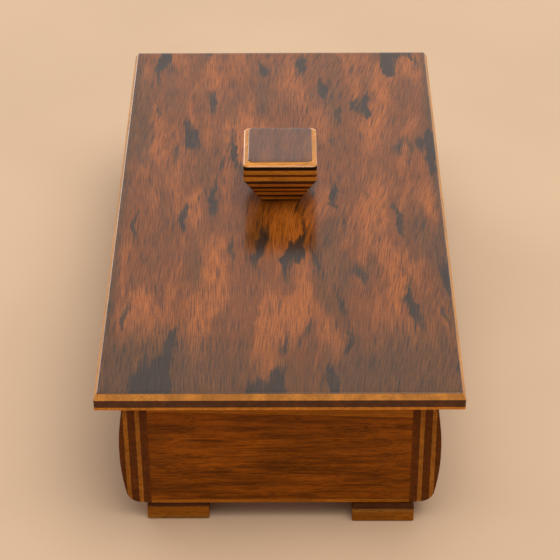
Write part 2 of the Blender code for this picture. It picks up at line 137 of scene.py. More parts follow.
class PuzzleBoxWoods(bpy.types.PropertyGroup):
    """Colour of each wood under its varnish."""
    veneer_brown: colour("Veneer brown", "Main brown of the figured veneer",
                         (0.185, 0.048, 0.0045))
    veneer_orange: colour("Veneer orange", "Bright patches of the figure",
                          (0.350, 0.092, 0.0100))
    # Veneer umber also paints the shade near the lid's long sides and front corners.
    veneer_umber: colour("Veneer umber", "Dark bands of the figure",
                         (0.080, 0.031, 0.0060))
    veneer_black: colour("Veneer black", "Ink-like marks of the figure",
                         (0.022, 0.014, 0.010))
    bright: colour("Bright ply", "Chamfered plies and the feet's thin ply",
                   (0.64, 0.245, 0.036))
    light: colour("Light ply", "Light plies of walls, lid and knob", (0.64, 0.215, 0.022))
    dark: colour("Dark ply", "Dark plies", (0.100, 0.025, 0.0025))
    red: colour("Red ply", "Red-brown plies of the knob", (0.18, 0.040, 0.006))
    black: colour("Black ply", "Line under the knob's cap", (0.022, 0.010, 0.005))
    honey: colour("Honey ply", "Lippings, base ply and the feet's thick ply",
                  (0.40, 0.122, 0.006))
    panel: colour("Panel veneer", "Face of the end panels", (0.240, 0.060, 0.0018))
    plain: colour("Plain wood", "Unvarnished wood inside", (0.36, 0.19, 0.085))
    steel: colour("Steel", "The tilt pin", (0.55, 0.55, 0.57))


class PuzzleBoxStage(bpy.types.PropertyGroup):
    """Floor, lights and camera."""
    camera_place: bpy.props.FloatVectorProperty(
        name="Camera place", description="Where the camera stands",
        default=(0.0029, -0.4937, 0.38115), size=3, subtype="TRANSLATION", unit="LENGTH")
    camera_pitch: bpy.props.FloatProperty(
        name="Camera pitch", description="Angle that the camera looks down",
        default=math.radians(36.28), subtype="ANGLE", unit="ROTATION")
    camera_turn: bpy.props.FloatProperty(
        name="Camera turn", description="Angle that the camera looks to the left",
        default=math.radians(0.37), subtype="ANGLE", unit="ROTATION")
    camera_roll: bpy.props.FloatProperty(
        name="Camera roll", description="Angle that the camera leans",
        default=math.radians(-0.38), subtype="ANGLE", unit="ROTATION")
    camera_lens: bpy.props.FloatProperty(
        name="Camera lens", description="Focal length on a 36 mm sensor, in millimetres",
        default=125.2, min=1.0, unit="CAMERA")
    floor_colour: colour("Floor", "Plain pale floor", (0.66, 0.47, 0.315))
    room_light: share("Room light", "Brightness of the room all round", 0.42, 4.0)
    back_light: share("Back light", "Brightness of the pale softbox behind", 0.62, 8.0)
    side_light: share("Side light", "Brightness of the low softbox behind on the left",
                      4.2, 8.0)
    low_light: share("Low light", "Brightness of the long low softbox behind", 1.4, 8.0)
    key_light: share("Key light", "Brightness of the softbox above the front", 3.1, 8.0)


def settings():
    """Property groups of the scene, as (sanding, woods, stage)."""
    scene = bpy.context.scene
    return scene.puzzle_box_sanding, scene.puzzle_box_woods, scene.puzzle_box_stage


# ---- Node helpers ------------------------------------------------------------------------------

def put(tree, kind, options=None, inputs=None):
    """Add a node, set its options, then set each named input or link a socket to it."""
    node = tree.nodes.new(kind)
    for key, value in (options or {}).items():
        setattr(node, key, value)
    for key, value in (inputs or {}).items():
        if isinstance(value, bpy.types.NodeSocket):
            tree.links.new(value, node.inputs[key])
        else:
            node.inputs[key].default_value = value
    return node


def calc(tree, operation, *values, clamp=False):
    """Math node."""
    node = put(tree, "ShaderNodeMath", {"operation": operation, "use_clamp": clamp},
               dict(enumerate(values)))
    return node.outputs[0]


def vector_calc(tree, operation, *values):
    """Vector Math node; the result is a number for LENGTH and DISTANCE."""
    node = put(tree, "ShaderNodeVectorMath", {"operation": operation},
               dict(enumerate(values)))
    return node.outputs["Value" if operation in ("LENGTH", "DISTANCE") else "Vector"]


def eased(tree, value, low, high, to_low=0.0, to_high=1.0):
    """Smooth step of a number from low to high."""
    node = put(tree, "ShaderNodeMapRange", {"interpolation_type": "SMOOTHSTEP"},
               {"Value": value, "From Min": low, "From Max": high, "To Min": to_low,
                "To Max": to_high})
    return node.outputs["Result"]


def noise(tree, vector, scale=1.0, detail=2.0, roughness=0.5):
    """Noise between 0 and 1, centred near 0.5."""
    node = put(tree, "ShaderNodeTexNoise", None,
               {"Vector": vector, "Scale": scale, "Detail": detail,
                "Roughness": roughness})
    return node.outputs["Fac"]


def blend(tree, factor, first, second, mode="MIX"):
    """Mix of two colours."""
    node = put(tree, "ShaderNodeMix", {"data_type": "RGBA", "blend_type": mode})
    for index, value in ((0, factor), (6, first), (7, second)):
        if isinstance(value, bpy.types.NodeSocket):
            tree.links.new(value, node.inputs[index])
        else:
            node.inputs[index].default_value = value
    return node.outputs[2]


def scaled(tree, vector, factors):
    """Vector with each axis multiplied by its own factor."""
    return vector_calc(tree, "MULTIPLY", vector, factors)


def shade(tone, factor=1.0):
    """RGBA of a wood colour made darker or lighter."""
    return tuple(min(1.0, channel * factor) for channel in tone) + (1.0,)


def new_group(name, tree_kind, inputs, outputs):
    """Node group with named sockets, as (tree, its input node, its output node)."""
    tree = bpy.data.node_groups.new(name, tree_kind)
    for label, kind, default in inputs:
        socket = tree.interface.new_socket(label, in_out="INPUT", socket_type=kind)
        if default is not None:
            socket.default_value = default
    for label, kind in outputs:
        tree.interface.new_socket(label, in_out="OUTPUT", socket_type=kind)
    return tree, tree.nodes.new("NodeGroupInput"), tree.nodes.new("NodeGroupOutput")


def use_group(tree, name, inputs):
    """Place one of the shared effects in a material."""
    node = put(tree, "ShaderNodeGroup", {"node_tree": bpy.data.node_groups[name]})
    for key, value in inputs.items():
        if isinstance(value, bpy.types.NodeSocket):
            tree.links.new(value, node.inputs[key])
        else:
            node.inputs[key].default_value = value
    return node


# ---- Shared effects ------------------------------------------------------------------------------

FLOAT, VECTOR = "NodeSocketFloat", "NodeSocketVector"


def make_wood_grain():
    """Fibres, mottle and pores of straight wood. The grain runs along the vector's X."""
    tree, given, result = new_group(
        "wood_grain", "ShaderNodeTree",
        (("Vector", VECTOR, None), ("Fibre Width", FLOAT, 0.35),
         ("Fibre Length", FLOAT, 9.0), ("Mottle Size", FLOAT, 9.0)),
        (("Fibre", FLOAT), ("Mottle", FLOAT), ("Pores", FLOAT)))
    vector = given.outputs["Vector"]
    thin = calc(tree, "DIVIDE", 1.0, given.outputs["Fibre Width"])
    long = calc(tree, "DIVIDE", 1.0, given.outputs["Fibre Length"])
    stretch = put(tree, "ShaderNodeCombineXYZ", None, {0: long, 1: thin, 2: thin})
    wander = noise(tree, vector, 0.06, 1.0)
    sway = put(tree, "ShaderNodeCombineXYZ", None,
               {1: calc(tree, "MULTIPLY", wander, 3.0)}).outputs[0]
    bent = vector_calc(tree, "ADD", vector, sway)
    fibre = noise(tree, scaled(tree, bent, stretch.outputs[0]), 1.0, 3.0, 0.6)
    coarse = noise(tree, scaled(tree, bent, (0.035, 0.55, 0.55)), 1.0, 2.0, 0.55)
    mixed = calc(tree, "ADD", calc(tree, "MULTIPLY", fibre, 0.55),
                 calc(tree, "MULTIPLY", coarse, 0.45))
    flecks = noise(tree, scaled(tree, bent, (0.30, 4.6, 4.6)), 1.0, 2.0, 0.55)
    mottle_scale = calc(tree, "DIVIDE", 1.0, given.outputs["Mottle Size"])
    mottle = noise(tree, scaled(tree, vector, (0.8, 1.6, 1.6)), mottle_scale, 2.0, 0.5)
    tree.links.new(eased(tree, mixed, 0.34, 0.66), result.inputs["Fibre"])
    tree.links.new(eased(tree, mottle, 0.32, 0.68), result.inputs["Mottle"])
    tree.links.new(eased(tree, flecks, 0.54, 0.68), result.inputs["Pores"])


def make_edge_wear():
    """How worn a point of a boxy piece is: 1 on its edges, falling to 0 past Width."""
    tree, given, result = new_group(
        "edge_wear", "ShaderNodeTree",
        (("Vector", VECTOR, None), ("Low", VECTOR, None), ("High", VECTOR, None),
         ("Width", FLOAT, 0.8)), (("Wear", FLOAT),))
    vector = given.outputs["Vector"]
    from_low = vector_calc(tree, "ABSOLUTE",
                           vector_calc(tree, "SUBTRACT", vector, given.outputs["Low"]))
    from_high = vector_calc(tree, "ABSOLUTE",
                            vector_calc(tree, "SUBTRACT", given.outputs["High"], vector))
    depth = put(tree, "ShaderNodeSeparateXYZ", None,
                {0: vector_calc(tree, "MINIMUM", from_low, from_high)}).outputs
    pairs = [calc(tree, "ADD", depth[a], depth[b]) for a, b in ((0, 1), (1, 2), (0, 2))]
    nearest = calc(tree, "MINIMUM", calc(tree, "MINIMUM", pairs[0], pairs[1]), pairs[2])
    ragged = calc(tree, "MULTIPLY_ADD", noise(tree, vector, 0.45, 3.0, 0.6), 2.4, -0.55)
    reach = calc(tree, "MULTIPLY", given.outputs["Width"], ragged)
    wear = calc(tree, "SUBTRACT", 1.0, calc(tree, "DIVIDE", nearest,
                                            calc(tree, "MAXIMUM", reach, 0.02)))
    tree.links.new(eased(tree, wear, 0.0, 0.9), result.inputs["Wear"])


def make_varnish():
    """Patchy thickness and roughness of hand-rubbed varnish, with faint wipe marks."""
    tree, given, result = new_group(
        "varnish", "ShaderNodeTree",
        (("Vector", VECTOR, None), ("Roughness", FLOAT, 0.4), ("Coat", FLOAT, 1.0),
         ("Wear", FLOAT, 0.0)), (("Roughness", FLOAT), ("Coat", FLOAT)))
    vector = given.outputs["Vector"]
    cloud = noise(tree, vector, 0.045, 3.0, 0.6)
    wipes = noise(tree, scaled(tree, vector, (0.9, 0.06, 0.9)), 1.0, 2.0, 0.6)
    patch = calc(tree, "MULTIPLY_ADD", cloud, 0.7, calc(tree, "MULTIPLY", wipes, 0.3))
    rough = calc(tree, "MULTIPLY", given.outputs["Roughness"],
                 eased(tree, patch, 0.3, 0.7, 0.85, 1.2))
    rough = calc(tree, "MULTIPLY_ADD", given.outputs["Wear"], 0.15, rough, clamp=True)
    worn = calc(tree, "MULTIPLY_ADD", given.outputs["Wear"], -0.45, 1.0)
    coat = calc(tree, "MULTIPLY", given.outputs["Coat"],
                calc(tree, "MULTIPLY", worn, eased(tree, patch, 0.25, 0.75, 1.0, 0.88)))
    tree.links.new(rough, result.inputs["Roughness"])
    tree.links.new(coat, result.inputs["Coat"])


def make_shared_effects():
    """Build every shared shader group once."""
    for name, build in (("wood_grain", make_wood_grain), ("edge_wear", make_edge_wear),
                        ("varnish", make_varnish)):
        if name not in bpy.data.node_groups:
            build()


# ---- Woods -------------------------------------------------------------------------------------------

GRAIN_ORDER = {"X": (0, 1, 2), "Y": (1, 0, 2), "Z": (2, 0, 1)}


def new_material(name):
    """Empty node material, as (material, tree, shader)."""
    material = bpy.data.materials.new(name)
    material.use_nodes = True
    tree = material.node_tree
    return material, tree, tree.nodes["Principled BSDF"]


def millimetres(tree):
    """Object coordinates in millimetres."""
    place = put(tree, "ShaderNodeTexCoord").outputs["Object"]
    return scaled(tree, place, (TO_MM, TO_MM, TO_MM))


def along_grain(tree, vector, axis):
    """Reorder a vector so that its X runs along the grain."""
    parts = put(tree, "ShaderNodeSeparateXYZ", None, {0: vector}).outputs
    order = GRAIN_ORDER[axis]
    return put(tree, "ShaderNodeCombineXYZ", None,
               {new: parts[old] for new, old in enumerate(order)}).outputs[0]


def piece_box(*nodes):
    """Lowest and highest corner of several CAD nodes together, in millimetres."""
    boxes = [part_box(node) for node in nodes]
    low = [min(box[0][axis] for box in boxes) * TO_MM for axis in range(3)]
    high = [max(box[1][axis] for box in boxes) * TO_MM for axis in range(3)]
    return low, high


def finish_wood(tree, shader, vector, tone, box, roughness, coat, wear_tone,
                wear_width=0.5, wear_share=0.5):
    """Lay worn edges, varnish and bump over a wood colour."""
    wear = use_group(tree, "edge_wear", {"Vector": vector, "Low": box[0], "High": box[1],
                                         "Width": wear_width}).outputs["Wear"]
    worn = calc(tree, "MULTIPLY", wear, wear_share)
    tree.links.new(blend(tree, worn, tone, wear_tone), shader.inputs["Base Color"])
    varnish = use_group(tree, "varnish", {"Vector": vector, "Roughness": roughness,
                                          "Coat": coat, "Wear": worn})
    tree.links.new(varnish.outputs["Roughness"], shader.inputs["Roughness"])
    tree.links.new(varnish.outputs["Coat"], shader.inputs["Coat Weight"])


def ply_wood(name, tone, axis, box, fibre=(0.35, 9.0), contrast=0.30, mottle=0.16,
             roughness=0.5, coat=0.3, coat_roughness=0.12, specular=0.0, bump=0.02,
             wear=0.5, seed=0.0):
    """Straight-grained varnished wood whose fibres run along one axis."""
    if name in bpy.data.materials:
        return bpy.data.materials[name]
    material, tree, shader = new_material(name)
    place = millimetres(tree)
    turned = along_grain(tree, vector_calc(tree, "ADD", place, (seed, seed, seed)), axis)
    grain = use_group(tree, "wood_grain", {"Vector": turned, "Fibre Width": fibre[0],
                                           "Fibre Length": fibre[1]})
    wood = blend(tree, grain.outputs["Fibre"], shade(tone, 1 - contrast),
                 shade(tone, 1 + contrast))
    wood = blend(tree, calc(tree, "MULTIPLY", grain.outputs["Mottle"], mottle), wood,
                 shade(tone, 0.45))
    wood = blend(tree, calc(tree, "MULTIPLY", grain.outputs["Pores"], 0.7), wood,
                 shade(tone, 0.30))
    finish_wood(tree, shader, place, wood, box, roughness, coat, shade(tone, 1.7),
                wear_share=wear)
    height = calc(tree, "SUBTRACT", calc(tree, "MULTIPLY", grain.outputs["Fibre"], 0.4),
                  grain.outputs["Pores"])
    relief = put(tree, "ShaderNodeBump", None,
                 {"Height": height, "Strength": 0.35, "Distance": bump / TO_MM})
    tree.links.new(relief.outputs["Normal"], shader.inputs["Normal"])
    shader.inputs["Specular IOR Level"].default_value = specular
    shader.inputs["Coat Roughness"].default_value = coat_roughness
    return material


# Typical spacing of the lid's figure, across and along the grain, in millimetres.
INK_SPACING = (6.0, 30.0)
INK_CLUSTER = (22.0, 60.0)    # the ink gathers in patches this far apart
GLOW_SPACING = (13.0, 50.0)
UMBER_SPACING = (20.0, 90.0)
SIDE_SHADE = 7.0            # painted shade darkens the veneer this near the lid's long sides
CORNER_SHADE = 56.0         # and this near its front end, most at the corners


def figure_noise(tree, vector, spacing, shift):
    """Noise stretched along the grain, with features about as far apart as spacing."""
    place = vector_calc(tree, "ADD", vector, (shift, shift, 0.0))
    stretch = (1.0 / spacing[0], 1.0 / spacing[1], 1.0)
    return noise(tree, scaled(tree, place, stretch), 1.0, 1.0, 0.5)


def edge_shade(tree, place, box):
    """How much painted shade darkens the veneer towards the long sides and the two front corners."""
    parts = put(tree, "ShaderNodeSeparateXYZ", None, {0: place}).outputs
    low, high = box
    from_sides = calc(tree, "MINIMUM", calc(tree, "SUBTRACT", parts[0], low[0]),
                      calc(tree, "SUBTRACT", high[0], parts[0]))
    from_front = calc(tree, "SUBTRACT", parts[1], low[1])
    sides = eased(tree, from_sides, SIDE_SHADE, 0.0, 0.0, 0.85)
    outward = eased(tree, from_sides, CORNER_SHADE, 0.0, 0.55, 1.15)
    front = calc(tree, "MULTIPLY", eased(tree, from_front, CORNER_SHADE, 0.0), outward)
    return calc(tree, "MAXIMUM", sides, front)


def lean_of_grain(tree, flat):
    """Shift across the grain, so that the fibres lean to the right on the right half."""
    parts = put(tree, "ShaderNodeSeparateXYZ", None, {0: flat}).outputs
    lean = eased(tree, parts[0], -22.0, 34.0, 0.0, -0.15)
    across = calc(tree, "MULTIPLY", parts[1], lean)
    sway = calc(tree, "MULTIPLY_ADD", noise(tree, flat, 0.022, 1.0), 6.0, -3.0)
    return put(tree, "ShaderNodeCombineXYZ", None,
               {0: calc(tree, "ADD", across, sway)}).outputs[0]


def figured_veneer(name, box, marked, coat, coat_roughness, specular, darken=1.0,
                   seed=0.0):
    """Veneer with black, umber and orange figure, fine fibres and pores; when marked, painted shade darkens
    it towards the lid's long sides and front corners.
    """
    woods = settings()[1]
    material, tree, shader = new_material(name)
    place = millimetres(tree)
    flat = scaled(tree, place, (1.0, 1.0, 0.0))
    flat = vector_calc(tree, "ADD", flat, (seed, seed, 0.0))
    bent = vector_calc(tree, "ADD", flat, lean_of_grain(tree, flat))

    streak = noise(tree, scaled(tree, bent, (1.3, 0.07, 1.0)), 1.0, 3.0, 0.6)
    band = noise(tree, scaled(tree, bent, (0.15, 0.020, 1.0)), 1.0, 3.0, 0.55)
    flame = noise(tree, scaled(tree, bent, (0.36, 0.034, 1.0)), 1.0, 3.0, 0.55)
    hair = noise(tree, scaled(tree, bent, (4.0, 0.12, 1.0)), 1.0, 2.0, 0.6)
    speck = noise(tree, scaled(tree, bent, (2.6, 1.3, 1.0)), 1.0, 2.0, 0.6)

    brown = shade(woods.veneer_brown, darken)
    orange = shade(woods.veneer_orange, darken)
    umber = shade(woods.veneer_umber, darken)
    black = shade(woods.veneer_black, darken)
    feather = calc(tree, "MULTIPLY_ADD", flame, 0.7, -0.35)
    frayed = calc(tree, "MULTIPLY_ADD", hair, 0.9, -0.45)
    glow = calc(tree, "MULTIPLY", eased(tree, band, 0.48, 0.62), 0.55)
    umber_and_shade = calc(tree, "MULTIPLY", eased(tree, band, 0.50, 0.38), 0.42)
    ink = 0.0
    if marked:
        swirl = put(tree, "ShaderNodeTexNoise", None,
                    {"Vector": flat, "Scale": 0.11, "Detail": 2.0}).outputs["Color"]
        swirl = scaled(tree, vector_calc(tree, "SUBTRACT", swirl, (0.5, 0.5, 0.5)),
                       (6.0, 8.0, 0.0))
        along = put(tree, "ShaderNodeCombineXYZ", None,
                    {1: calc(tree, "MULTIPLY_ADD", streak, 12.0, -6.0)}).outputs[0]
        swirled = vector_calc(tree, "ADD", flat, swirl)
        brushed = vector_calc(tree, "ADD", swirled, along)
        orange_mask = eased(tree, figure_noise(tree, swirled, GLOW_SPACING, 40.0),
                            0.46, 0.64, 0.0, 0.85)
        glow = eased(tree, calc(tree, "ADD", calc(tree, "MAXIMUM", glow, orange_mask),
                                feather), 0.06, 1.05)
        # The umber mask also carries painted shade towards the lid's long sides and front corners.
        umber_and_edge_shade = calc(tree, "MAXIMUM", edge_shade(tree, place, box),
                          eased(tree, figure_noise(tree, brushed, UMBER_SPACING, 90.0),
                                0.50, 0.66, 0.0, 0.6))
        gathered = calc(tree, "MULTIPLY_ADD",
                        figure_noise(tree, brushed, INK_CLUSTER, 65.0), 0.5, -0.25)
        inky = calc(tree, "ADD", figure_noise(tree, brushed, INK_SPACING, 15.0), gathered)
        spots = eased(tree, inky, 0.55, 0.76)
        black_mask = calc(tree, "ADD", spots, frayed)
        halo = calc(tree, "MULTIPLY", eased(tree, black_mask, 0.0, 0.5), 0.8)
        umber_and_shade = calc(tree, "ADD", calc(tree, "MAXIMUM", umber_and_shade, umber_and_edge_shade), feather)
        umber_and_shade = calc(tree, "MAXIMUM", eased(tree, umber_and_shade, 0.16, 0.85), halo)
        ink = eased(tree, black_mask, 0.16, 0.80)
    tone = blend(tree, glow, brown, orange)
    # Umber here is partly the figure's dark bands and partly painted shade near the lid's edges.
    tone = blend(tree, calc(tree, "MULTIPLY", umber_and_shade, 0.85), tone, umber)
    tone = blend(tree, calc(tree, "MULTIPLY", ink, 0.85), tone, black)
    fine = blend(tree, eased(tree, hair, 0.34, 0.66), (1.30, 1.32, 1.34, 1.0),
                 (0.62, 0.60, 0.58, 1.0))
    tone = blend(tree, 1.0, tone, fine, "MULTIPLY")
    dots = blend(tree, eased(tree, speck, 0.30, 0.70), (0.84, 0.82, 0.80, 1.0),
                 (1.14, 1.16, 1.18, 1.0))
    tone = blend(tree, 1.0, tone, dots, "MULTIPLY")
    density = calc(tree, "MULTIPLY", umber_and_shade, 0.05)
    pore = eased(tree, calc(tree, "ADD", hair, density), 0.56, 0.72)
    tone = blend(tree, calc(tree, "MULTIPLY", pore, 0.75), tone,
                 shade(woods.veneer_black, 1.1 * darken))
    finish_wood(tree, shader, place, tone, box, 0.5, coat, shade(woods.veneer_brown, 1.8),
                wear_width=0.35, wear_share=0.5)
    height = calc(tree, "SUBTRACT", calc(tree, "MULTIPLY", hair, 0.5), pore)
    relief = put(tree, "ShaderNodeBump", None,
                 {"Height": height, "Strength": 0.4, "Distance": 0.02 / TO_MM})
    tree.links.new(relief.outputs["Normal"], shader.inputs["Normal"])
    shader.inputs["Specular IOR Level"].default_value = specular
    shader.inputs["Coat Roughness"].default_value = coat_roughness
    return material


def brushed_steel(name):
    """Drawn steel rod, scratched along its length."""
    material, tree, shader = new_material(name)
    place = millimetres(tree)
    lines = noise(tree, scaled(tree, place, (9.0, 0.25, 9.0)), 1.0, 3.0, 0.6)
    steel = settings()[1].steel
    tone = blend(tree, eased(tree, lines, 0.3, 0.7), shade(steel, 0.72), shade(steel, 1.1))
    tree.links.new(tone, shader.inputs["Base Color"])
    tree.links.new(eased(tree, lines, 0.3, 0.7, 0.22, 0.42), shader.inputs["Roughness"])
    relief = put(tree, "ShaderNodeBump", None,
                 {"Height": lines, "Strength": 0.3, "Distance": 0.01 / TO_MM})
    tree.links.new(relief.outputs["Normal"], shader.inputs["Normal"])
    shader.inputs["Metallic"].default_value = 1.0
    return material


# ---- Shapes --------------------------------------------------------------------------------------------

def make_sanded_slab():
    """Geometry tree of a slab: a rounded rectangle, drilled, tapered and marked for sanding."""
    tree, given, result = new_group(
        "sanded_slab", "GeometryNodeTree",
        (("Lower Size", VECTOR, None), ("Upper Size", VECTOR, None),
         ("Centre", VECTOR, None), ("Bottom", FLOAT, 0.0), ("Top", FLOAT, 0.001),
         ("Corner Radius", FLOAT, 0.0005), ("Hole Radius", FLOAT, 0.0),
         ("Hole Centre", VECTOR, None), ("Sand Top", FLOAT, 0.0),
         ("Sand Bottom", FLOAT, 0.0), ("Roll Width", FLOAT, 0.0),
         ("Roll Share", FLOAT, 0.0), ("Wood", "NodeSocketMaterial", None)),
        (("Geometry", "NodeSocketGeometry"),))
    get = given.outputs
    size = put(tree, "ShaderNodeSeparateXYZ", None, {0: get["Lower Size"]}).outputs
    outline = put(tree, "GeometryNodeCurvePrimitiveQuadrilateral", None,
                  {"Width": size[0], "Height": size[1]})
    rounded = put(tree, "GeometryNodeFilletCurve", {"mode": "POLY"},
                  {"Curve": outline.outputs[0], "Count": 6,
                   "Radius": get["Corner Radius"], "Limit Radius": True})
    placed = put(tree, "GeometryNodeSetPosition", None,
                 {"Geometry": rounded.outputs[0], "Offset": get["Centre"]})
    circle = put(tree, "GeometryNodeCurvePrimitiveCircle", {"mode": "RADIUS"},
                 {"Resolution": 48, "Radius": get["Hole Radius"]})
    drilled = put(tree, "GeometryNodeSetPosition", None,
                  {"Geometry": circle.outputs[0], "Offset": get["Hole Centre"]})
    has_hole = calc(tree, "GREATER_THAN", get["Hole Radius"], 0.0)
    hole = put(tree, "GeometryNodeSwitch", {"input_type": "GEOMETRY"},
               {"Switch": has_hole, "True": drilled.outputs[0]})
    curves = put(tree, "GeometryNodeJoinGeometry")
    for part in (hole.outputs[0], placed.outputs[0]):
        tree.links.new(part, curves.inputs[0])
    sheet = put(tree, "GeometryNodeFillCurve", {"mode": "NGONS"},
                {"Curve": curves.outputs[0]})
    thickness = calc(tree, "SUBTRACT", get["Top"], get["Bottom"])
    drop = calc(tree, "MULTIPLY", thickness, get["Roll Share"])
    rolled_at = calc(tree, "SUBTRACT", thickness, drop)
    lift = put(tree, "ShaderNodeCombineXYZ", None, {2: rolled_at}).outputs[0]
    raised = put(tree, "GeometryNodeExtrudeMesh", {"mode": "FACES"},
                 {"Mesh": sheet.outputs[0], "Offset": lift, "Offset Scale": 1.0,
                  "Individual": False})
    crown = put(tree, "ShaderNodeCombineXYZ", None, {2: drop}).outputs[0]
    crowned = put(tree, "GeometryNodeExtrudeMesh", {"mode": "FACES"},
                  {"Mesh": raised.outputs["Mesh"], "Selection": raised.outputs["Top"],
                   "Offset": crown, "Offset Scale": 1.0, "Individual": False})
    underside = put(tree, "GeometryNodeFlipFaces", None, {"Mesh": sheet.outputs[0]})
    closed = put(tree, "GeometryNodeJoinGeometry")
    for part in (crowned.outputs[0], underside.outputs[0]):
        tree.links.new(part, closed.inputs[0])
    welded = put(tree, "GeometryNodeMergeByDistance", None,
                 {"Geometry": closed.outputs[0], "Distance": 1e-7})

    position = put(tree, "GeometryNodeInputPosition").outputs[0]
    height = put(tree, "ShaderNodeSeparateXYZ", None, {0: position}).outputs[2]
    middle = calc(tree, "MULTIPLY", thickness, 0.5)
    is_top = calc(tree, "GREATER_THAN", height, middle)
    local = vector_calc(tree, "SUBTRACT", position, get["Centre"])
    side = vector_calc(tree, "SIGN", local)
    growth = vector_calc(tree, "SUBTRACT", get["Upper Size"], get["Lower Size"])
    growth = scaled(tree, growth, (0.5, 0.5, 0.0))
    flat_place = scaled(tree, position, (1.0, 1.0, 0.0))
    from_hole = vector_calc(tree, "DISTANCE", flat_place,
                            scaled(tree, get["Hole Centre"], (1.0, 1.0, 0.0)))
    off_hole = calc(tree, "GREATER_THAN", from_hole,
                    calc(tree, "MULTIPLY", get["Hole Radius"], 1.1))
    on_crown = calc(tree, "GREATER_THAN", height,
                    calc(tree, "MULTIPLY_ADD", drop, -0.5, thickness))
    inset = calc(tree, "MULTIPLY", on_crown, get["Roll Width"])
    inward = put(tree, "ShaderNodeCombineXYZ", None, {0: inset, 1: inset}).outputs[0]
    move = vector_calc(tree, "MULTIPLY", vector_calc(tree, "SUBTRACT", growth, inward), side)
    moving = calc(tree, "MULTIPLY", is_top, off_hole)
    tapered = put(tree, "GeometryNodeSetPosition", None,
                  {"Geometry": welded.outputs[0], "Selection": moving, "Offset": move})
    rise = put(tree, "ShaderNodeCombineXYZ", None, {2: get["Bottom"]}).outputs[0]
    lifted = put(tree, "GeometryNodeSetPosition", None,
                 {"Geometry": tapered.outputs[0], "Offset": rise})

    fold = put(tree, "GeometryNodeInputMeshEdgeAngle").outputs["Unsigned Angle"]
    crisp = calc(tree, "GREATER_THAN", fold, CREASE)
    edge_height = calc(tree, "SUBTRACT", height, get["Bottom"])
    upper = calc(tree, "GREATER_THAN", edge_height, calc(tree, "MULTIPLY", thickness, 0.52))
    lower = calc(tree, "LESS_THAN", edge_height, calc(tree, "MULTIPLY", thickness, 0.25))
    weight = calc(tree, "ADD", calc(tree, "MULTIPLY", upper, get["Sand Top"]),
                  calc(tree, "MULTIPLY", lower, get["Sand Bottom"]))
    weighted = put(tree, "GeometryNodeStoreNamedAttribute",
                   {"data_type": "FLOAT", "domain": "EDGE"},
                   {"Geometry": lifted.outputs[0], "Name": "bevel_weight_edge",
                    "Value": calc(tree, "MULTIPLY", crisp, weight)})
    realised = put(tree, "GeometryNodeRealizeInstances", None,
                   {"Geometry": weighted.outputs[0]})
    final = put(tree, "GeometryNodeSetMaterial", None,
                {"Geometry": realised.outputs[0], "Material": get["Wood"]})
    tree.links.new(final.outputs[0], result.inputs["Geometry"])


def set_inputs(modifier, values):
    """Set a Geometry Nodes modifier's inputs by their sockets' identifiers."""
    identifiers = {item.name: item.identifier
                   for item in modifier.node_group.interface.items_tree
                   if item.item_type == "SOCKET" and item.in_out == "INPUT"}
    for name, value in values.items():
        modifier[identifiers[name]] = value


def round_edges(piece, width, segments=3):
    """Sand the weighted edges of a piece and even out its shading."""
    if width > 0:
        bevel = piece.modifiers.new("sanding", "BEVEL")
        bevel.limit_method = "WEIGHT"
        bevel.width = width
        bevel.segments = segments
        bevel.use_clamp_overlap = True
    shading = piece.modifiers.new("shading", "WEIGHTED_NORMAL")
    shading.keep_sharp = True


def as_plain_mesh(piece):
    """Replace a piece's modifiers by the mesh that they make."""
    bpy.context.view_layer.update()
    graph = bpy.context.evaluated_depsgraph_get()
    mesh = bpy.data.meshes.new_from_object(piece.evaluated_get(graph))
    mesh.name = piece.name
    piece.modifiers.clear()
    piece.data = mesh
    return piece


def smooth_shading(mesh, angle=38.0):
    """Shade smoothly up to an angle between faces."""
    mesh.shade_smooth()
    mesh.set_sharp_from_angle(angle=math.radians(angle))


def link_piece(name, mesh):
    """New object in the scene."""
    piece = bpy.data.objects.new(name, mesh)
    bpy.context.scene.collection.objects.link(piece)
    return piece


def fit_piece(piece, node):
    """Stand a finished piece in for its CAD node."""
    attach(piece, frame["nodes"][node]["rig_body"])
    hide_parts(node)
    return piece


def slab(node, wood, lower=None, upper=None, corner=0.0005, arris=0.0, sand_top=0.0,
         sand_bottom=0.0, roll=(0.0, 0.0), hole=0.0, hole_centre=(0.0, 0.0)):
    """Sanded slab in place of a CAD node; lower and upper are its sizes there."""
    low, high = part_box(node)
    size = high - low
    lower = Vector((*lower, 0.0)) if lower else Vector((size.x, size.y, 0.0))
    upper = Vector((*upper, 0.0)) if upper else Vector((size.x, size.y, 0.0))
    middle = (low + high) / 2
    piece = link_piece(node + "_sanded", bpy.data.meshes.new(node + "_sanded"))
    modifier = piece.modifiers.new("slab", "NODES")
    modifier.node_group = bpy.data.node_groups["sanded_slab"]
    set_inputs(modifier, {
        "Lower Size": lower, "Upper Size": upper, "Centre": (middle.x, middle.y, 0.0),
        "Bottom": low.z, "Top": high.z, "Corner Radius": corner, "Hole Radius": hole,
        "Hole Centre": (*hole_centre, 0.0), "Sand Top": sand_top,
        "Sand Bottom": sand_bottom, "Roll Width": roll[0], "Roll Share": roll[1],
        "Wood": wood})
    as_plain_mesh(piece)
    smooth_shading(piece.data)
    round_edges(piece, arris)
    as_plain_mesh(piece)
    return fit_piece(piece, node)


def merged_shape(node):
    """The CAD node's mesh with its triangles joined and its flat faces whole."""
    shape = bmesh.new()
    shape.from_mesh(frame["nodes"][node].data)
    bmesh.ops.remove_doubles(shape, verts=shape.verts, dist=1e-6)
    bmesh.ops.dissolve_limit(shape, angle_limit=math.radians(0.6), verts=shape.verts,
                             edges=shape.edges)
    return shape


